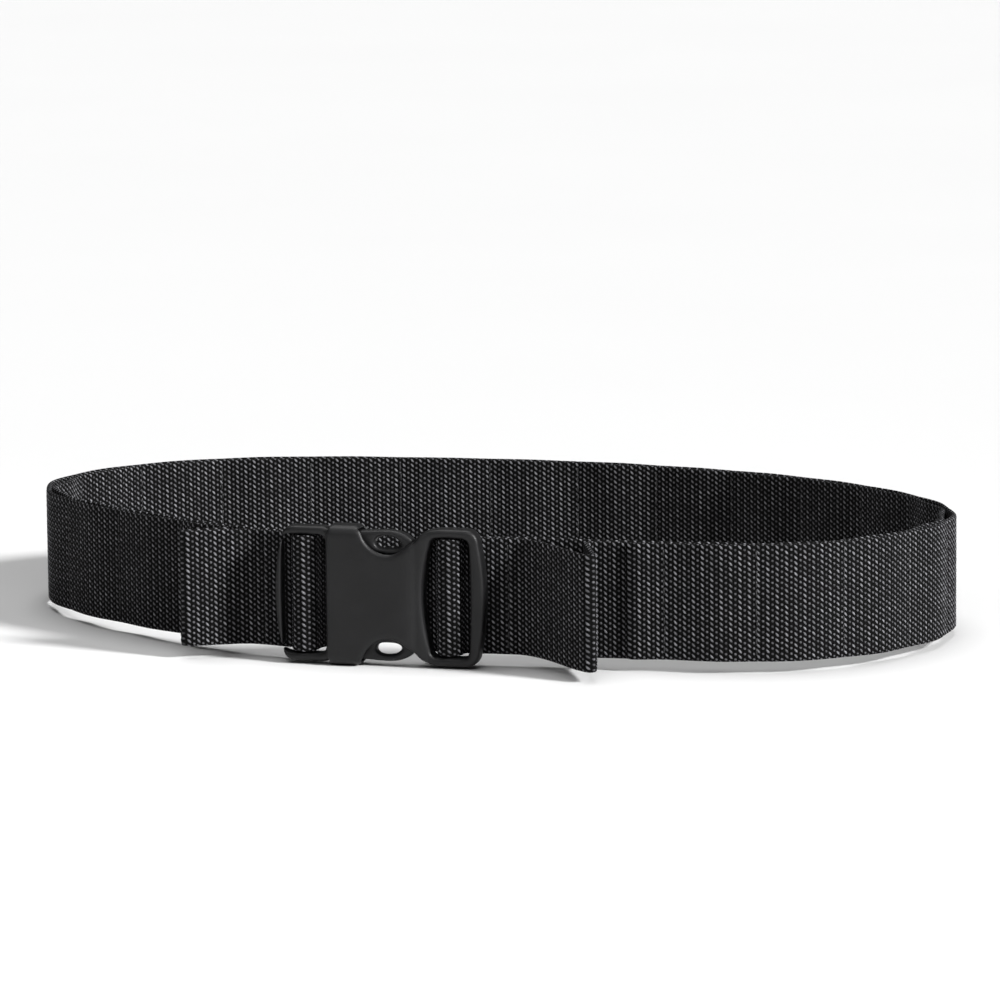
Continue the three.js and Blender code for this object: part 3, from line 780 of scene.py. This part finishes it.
# A closed mesh with its faces turned outwards and shaded smooth
def closedMesh(name, vertices, faces):
    mesh = bpy.data.meshes.new(name)
    mesh.from_pydata(vertices, [], faces)
    work = bmesh.new()
    work.from_mesh(mesh)
    bmesh.ops.recalc_face_normals(work, faces=work.faces)
    work.to_mesh(mesh)
    work.free()
    mesh.polygons.foreach_set("use_smooth", [True] * len(mesh.polygons))
    return mesh


# One stitch as a bent tube with both ends dipping into the cloth
def stitchRings(at, out, along, bottomUp):
    fullness, height, sink = stitch["arch"]
    rings = []
    for t in np.linspace(0, 1, stitch["rings"]):
        lift = stitch["rise"] * (math.sin(math.pi * t) ** fullness * height - sink)
        thin = stitch["thinEnd"]
        thick = stitch["radius"] * (thin + (1 - thin) * math.sin(math.pi * t))
        centre = at + out * lift
        ring = []
        for a in np.linspace(0, 2 * math.pi, stitch["sides"] + 1)[:-1]:
            xy = (centre + out * thick * math.sin(a) * stitch["flatness"]
                  + along * thick * math.cos(a))
            ring.append((xy[0], xy[1], bottomUp + t * stitch["length"]))
        rings.append(ring)
    return np.array(rings)


# All stitches of one row on one face, in plan millimetres
def stitchRow(distance, isOuter):
    centre = planAt(distance)
    inwards = planAt(distance, 1.0) - centre
    out = -inwards if isOuter else inwards
    along = np.array([-out[1], out[0]])
    depth = 0.0 if isOuter else 2 * webbing["thickness"] + belt["layerGap"]
    sunk = belt["groove"] * 0.5
    face = centre + inwards * depth - out * (sunk - stitch["proud"])
    height = webbing["width"] - 2 * stitch["margin"]
    count = int(height / stitch["pitch"])
    made = []
    for i in range(count):
        bottom = -height / 2 + (i + 0.5) * height / count - stitch["length"] / 2
        shift = random.normal(0, stitch["wander"])
        made.append(stitchRings(face + along * shift, out, along,
                                bottom + random.normal(0, stitch["slip"])))
    return made


def stitchPiece(name, rows):
    vertices, faces = [], []
    for distance, isOuter in rows:
        for rings in stitchRow(distance, isOuter):
            first = len(vertices)
            for ring in rings:
                for x, y, up in ring:
                    vertices.append(((x + frameShift[0]) * mm, (y + frameShift[1]) * mm,
                                     frameZ(up, y) * mm))
            sides = stitch["sides"]
            for r in range(len(rings) - 1):
                for k in range(sides):
                    a = first + r * sides + k
                    b = first + r * sides + (k + 1) % sides
                    faces.append((a, b, b + sides, a + sides))
            faces.append([first + k for k in range(sides)][::-1])
            faces.append([first + (len(rings) - 1) * sides + k for k in range(sides)])
    return addPiece(name, closedMesh(name, vertices, faces), sewingThread)


rowStitches = stitchPiece("stitch_rows", [(d, face) for d in seams for face in (True, False)])
bendAtBack(rowStitches)
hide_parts(*[name for name in nodes if "_seam_" in name])
leadRow = 54                  # mm, the row beside each pocket's mouth
for name, side in (("left", -1), ("right", 1)):
    row = stitchPiece(name + "_lead_stitches", [(side * leadRow, True), (side * leadRow, False)])
    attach(row, name + "_half")
print("rows sewn")


mould = {
    "voxel": 0.45,            # mm
    "margin": 8,              # voxels of room round a part
}
socket = {                    # mm from the buckle's middle
    "mouth": -23.1,
    "pastMouth": 9,
    "end": 16.5,
    "halfThick": 5.0,
    "taperFrom": 10.5,        # the cavity thins from here to its end
    "taper": 1.7,
    "halfHigh": 28.5,
    "wallMiddle": -6.0,       # in the front wall, whose outline is the body's own
    "overlap": 0.8,
}
buckleParts = {
    # node: (body it rides on, how far its edges are eased in mm)
    "female_body": ("right_half", 1.1),
    "male_frame": ("left_half", 0.7),
    "guide_tongue": ("left_half", 0.6),
    "upper_release_arm": ("upper_arm", 0.8),
    "lower_release_arm": ("lower_arm", 0.8),
}


# Distances to a closed surface, negative inside, on a box of voxels
def distanceField(points, triangles, low, shape):
    voxel = mould["voxel"] * mm
    scale = openvdb.createLinearTransform(voxelSize=voxel)
    fromCorner = points - low
    grid = openvdb.FloatGrid.createLevelSetFromPolygons(
        fromCorner, triangles=triangles, transform=scale, halfWidth=float(mould["margin"]))
    field = np.zeros(shape, dtype=np.float32)
    grid.copyToArray(field)
    return field / mm


# Distances to a box given by its sides, in the buckle's own millimetres
def boxField(place, x, y, z):
    out = [np.maximum(side[0] - place[k], place[k] - side[1])
           for k, side in enumerate((x, y, z))]
    return np.maximum(np.maximum(out[0], out[1]), out[2])


# The field blurred along its three axes, which rounds every edge
def eased(field, spread):
    sigma = spread / mould["voxel"]
    reach = int(3 * sigma) + 1
    kernel = np.exp(-0.5 * (np.arange(-reach, reach + 1) / sigma) ** 2)
    kernel /= kernel.sum()
    for axis in range(3):
        padded = np.pad(field, [(reach, reach) if k == axis else (0, 0) for k in range(3)],
                        mode="edge")
        count = field.shape[axis]
        field = sum(w * np.take(padded, range(k, k + count), axis=axis)
                    for k, w in enumerate(kernel))
    return field


# The points and triangles of one solid
def solidOf(node):
    source = nodes[node].data
    source.calc_loop_triangles()
    points = np.empty(len(source.vertices) * 3, dtype=np.float32)
    source.vertices.foreach_get("co", points)
    triangles = np.empty(len(source.loop_triangles) * 3, dtype=np.int32)
    source.loop_triangles.foreach_get("vertices", triangles)
    return points.reshape(-1, 3), triangles.reshape(-1, 3).astype(np.uint32)


# The body is eased as if it were filled, and its cavity is cut with crisp sides afterwards,
# so that the thin walls keep their thickness
def easedRoundSocket(field, low, spread):
    voxel = mould["voxel"] * mm
    place = [(low[k] + np.arange(field.shape[k]) * voxel) / mm for k in range(3)]
    place[0] = place[0] - belt["buckleX"] - frameShift[0]
    place[1] = place[1] - buckleY - frameShift[1]
    place[2] = place[2] - middleZ
    spots = np.meshgrid(*place, indexing="ij", sparse=True)
    taperRun = socket["end"] - socket["taperFrom"]
    closing = np.clip((spots[0] - socket["taperFrom"]) / taperRun, 0, 1)
    halfThick = socket["halfThick"] - socket["taper"] * closing
    hollow = boxField(spots, (socket["mouth"] - socket["pastMouth"], socket["end"]),
                      (-halfThick, halfThick), (-socket["halfHigh"], socket["halfHigh"]))
    wall = int(np.argmin(np.abs(place[1] - socket["wallMiddle"])))
    outline = field[:, wall:wall + 1, :]
    filled = np.minimum(field, np.maximum(hollow - socket["overlap"], outline))
    return np.maximum(eased(filled, spread), -hollow)


# The part's solid with the soft edges that a mould leaves
def mouldedMesh(node, spread):
    points, triangles = solidOf(node)
    voxel = mould["voxel"] * mm
    low = points.min(axis=0) - mould["margin"] * voxel
    shape = tuple(np.ceil((points.max(axis=0) - low) / voxel).astype(int) + mould["margin"])
    field = distanceField(points, triangles, low, shape)
    if node == "female_body":
        field = easedRoundSocket(field, low, spread)
    else:
        field = eased(field, spread)
    grid = openvdb.FloatGrid()
    grid.background = float(field.max())
    grid.copyFromArray(np.ascontiguousarray(field, dtype=np.float32))
    surface, quads = grid.convertToQuads(isovalue=0.0)
    vertices = (np.asarray(surface) * voxel + low).tolist()
    return closedMesh(node + "_moulded", vertices, np.asarray(quads).tolist())


for node, (body, spread) in buckleParts.items():
    piece = addPiece("moulded_" + node, mouldedMesh(node, spread), bucklePlastic)
    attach(piece, body)
    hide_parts(node)
print("buckle moulded")

for name, node in nodes.items():          # the hidden solids carry the same finishes
    isSoft = any(word in name for word in ("webbing", "pocket", "turn"))
    finish = sewingThread if "_seam_" in name else webbingCloth if isSoft else bucklePlastic
    node.data.materials.clear()
    node.data.materials.append(finish)


studio = {
    "floorTint": "#cfcfcf",
    "floorMottle": "#cecece",
    "mottle": 333.3,          # mm, how wide the mottling is
    "floorSize": 60,          # m
    "world": (0.05, "#ffffff"),
}
suns = {
    # name: (light comes from, irradiance, angle it spans in degrees)
    "key from the right": ((1.0, -0.3, 0.62), 6.0, 10),
    "high soft fill": ((-0.1, 0.15, 1.0), 1.8, 40),
}
lamps = {
    # name: (place m, aimed at m, width m, height m, watts)
    "front strip": ((0.1, -0.75, 0.62), (-0.02, -0.11, 0.05), 0.5, 0.1, 2.0),
}


def paleFloorPaint():
    # Matt painted studio floor: nearly white with the faintest mottling.
    material, tree = startMaterial("pale matt studio floor")
    place = addNode(tree, "ShaderNodeTexCoord").outputs["Object"]
    mottle = addNode(tree, "ShaderNodeTexNoise", None,
                     {"Vector": place, "Scale": cellScale(studio["mottle"])})
    colour = ramp(tree, mottle.outputs[0],
                  [(0.3, studio["floorMottle"]), (0.7, studio["floorTint"])])
    finishMaterial(tree, {"Base Color": colour, "Roughness": 0.9})
    return material


def addFloor():
    work = bmesh.new()
    bmesh.ops.create_grid(work, x_segments=4, y_segments=4, size=studio["floorSize"] / 2)
    mesh = bpy.data.meshes.new("studio_floor")
    work.to_mesh(mesh)
    work.free()
    mesh.materials.append(paleFloorPaint())
    floor = bpy.data.objects.new("studio_floor", mesh)
    bpy.context.scene.collection.objects.link(floor)


def aimed(place, way):
    turn = Vector(way).to_track_quat("-Z", "Y").to_matrix().to_4x4()
    return Matrix.Translation(Vector(place)) @ turn


def addLight(name, kind, energy, matrix, settings):
    data = bpy.data.lights.new(name, kind)
    data.energy = energy
    for key, value in settings.items():
        setattr(data, key, value)
    light = bpy.data.objects.new(name, data)
    light.matrix_world = matrix
    bpy.context.scene.collection.objects.link(light)


def addSun(name, source, irradiance, span):
    way = -Vector(source)
    addLight(name, "SUN", irradiance, aimed(Vector(source), way), {"angle": math.radians(span)})


def addLamp(name, place, aim, width, height, watts):
    matrix = aimed(place, Vector(aim) - Vector(place))
    addLight(name, "AREA", watts, matrix, {"shape": "RECTANGLE", "size": width, "size_y": height})


def addWorld():
    strength, tint = studio["world"]
    world = bpy.data.worlds.new("studio")
    world.use_nodes = True
    background = world.node_tree.nodes["Background"]
    background.inputs["Color"].default_value = paint(tint)
    background.inputs["Strength"].default_value = strength
    bpy.context.scene.world = world


addFloor()
for name, values in suns.items():
    addSun(name, *values)
for name, values in lamps.items():
    addLamp(name, *values)
addWorld()
bpy.context.scene.view_settings.view_transform = "Standard"
print("studio lit")
